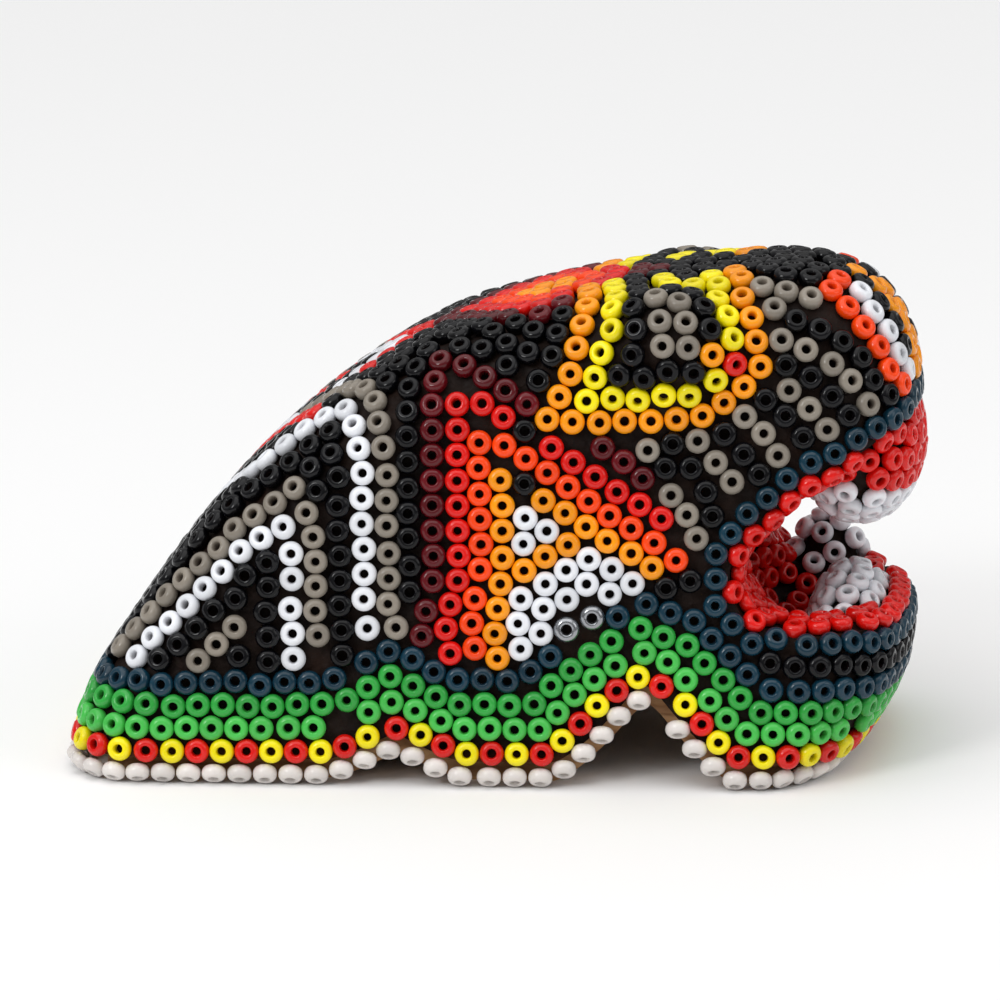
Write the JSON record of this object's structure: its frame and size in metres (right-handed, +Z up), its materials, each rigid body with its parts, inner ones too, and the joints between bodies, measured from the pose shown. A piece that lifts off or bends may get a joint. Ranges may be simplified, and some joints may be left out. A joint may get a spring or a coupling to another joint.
{
  "type": "beaded big cat head figure",
  "caption": "Ornamental open-mouthed big-cat head: hollow carved wooden core, beeswax coat and a skin of coloured glass seed beads, resting on its scalloped edge.",
  "frame": {"origin": "centre of the bounding box's bottom face, on the surface that the head rests on", "axes": "+X out of the snout, +Z up, +Y towards the head's left cheek"},
  "size_m": [0.0746, 0.049, 0.044],
  "materials": {
    "wood": "matte",
    "beeswax": "satin",
    "white_glass": "gloss",
    "rim_white_glass": "gloss",
    "yellow_glass": "gloss",
    "red_glass": "gloss",
    "orange_glass": "gloss",
    "amber_glass": "gloss",
    "maroon_glass": "gloss",
    "teal_glass": "gloss",
    "green_glass": "gloss",
    "light_green_glass": "gloss",
    "grey_glass": "gloss",
    "black_glass": "gloss",
    "silver_lined_glass": "polished"
  },
  "bodies": {
    "root": {"band_green_beads": "green_glass", "band_light_green_beads": "light_green_glass", "band_red_beads": "red_glass", "band_teal_beads": "teal_glass", "band_white_beads": "rim_white_glass", "band_yellow_beads": "yellow_glass", "chin_black_beads": "black_glass", "crown_amber_beads": "amber_glass", "crown_black_beads": "black_glass", "crown_maroon_beads": "maroon_glass", "crown_orange_beads": "orange_glass", "crown_red_beads": "red_glass", "crown_white_beads": "white_glass", "left_cheek_black_beads": "black_glass", "left_cheek_grey_beads": "grey_glass", "left_cheek_white_beads": "white_glass", "left_eye_amber_beads": "amber_glass", "left_eye_black_beads": "black_glass", "left_eye_grey_beads": "grey_glass", "left_eye_red_beads": "red_glass", "left_eye_yellow_beads": "yellow_glass", "left_flame_amber_beads": "amber_glass", "left_flame_maroon_beads": "maroon_glass", "left_flame_orange_beads": "orange_glass", "left_flame_red_beads": "red_glass", "left_flame_white_beads": "white_glass", "left_muzzle_black_beads": "black_glass", "left_muzzle_grey_beads": "grey_glass", "left_nose_orange_beads": "orange_glass", "left_nose_white_beads": "white_glass", "lips_teal_beads": "teal_glass", "lower_mouth_red_beads": "red_glass", "lower_teeth_white_beads": "white_glass", "nose_amber_beads": "amber_glass", "nose_black_beads": "black_glass", "palate_red_beads": "red_glass", "right_cheek_black_beads": "black_glass", "right_cheek_grey_beads": "grey_glass", "right_cheek_white_beads": "white_glass", "right_eye_amber_beads": "amber_glass", "right_eye_black_beads": "black_glass", "right_eye_grey_beads": "grey_glass", "right_eye_red_beads": "red_glass", "right_eye_yellow_beads": "yellow_glass", "right_flame_amber_beads": "amber_glass", "right_flame_maroon_beads": "maroon_glass", "right_flame_orange_beads": "orange_glass", "right_flame_red_beads": "red_glass", "right_flame_silver_beads": "silver_lined_glass", "right_flame_white_beads": "white_glass", "right_muzzle_black_beads": "black_glass", "right_muzzle_grey_beads": "grey_glass", "right_nose_orange_beads": "orange_glass", "right_nose_white_beads": "white_glass", "upper_teeth_white_beads": "white_glass", "wax_coat": "beeswax", "wood_core": "wood"}
  },
  "joints": []
}
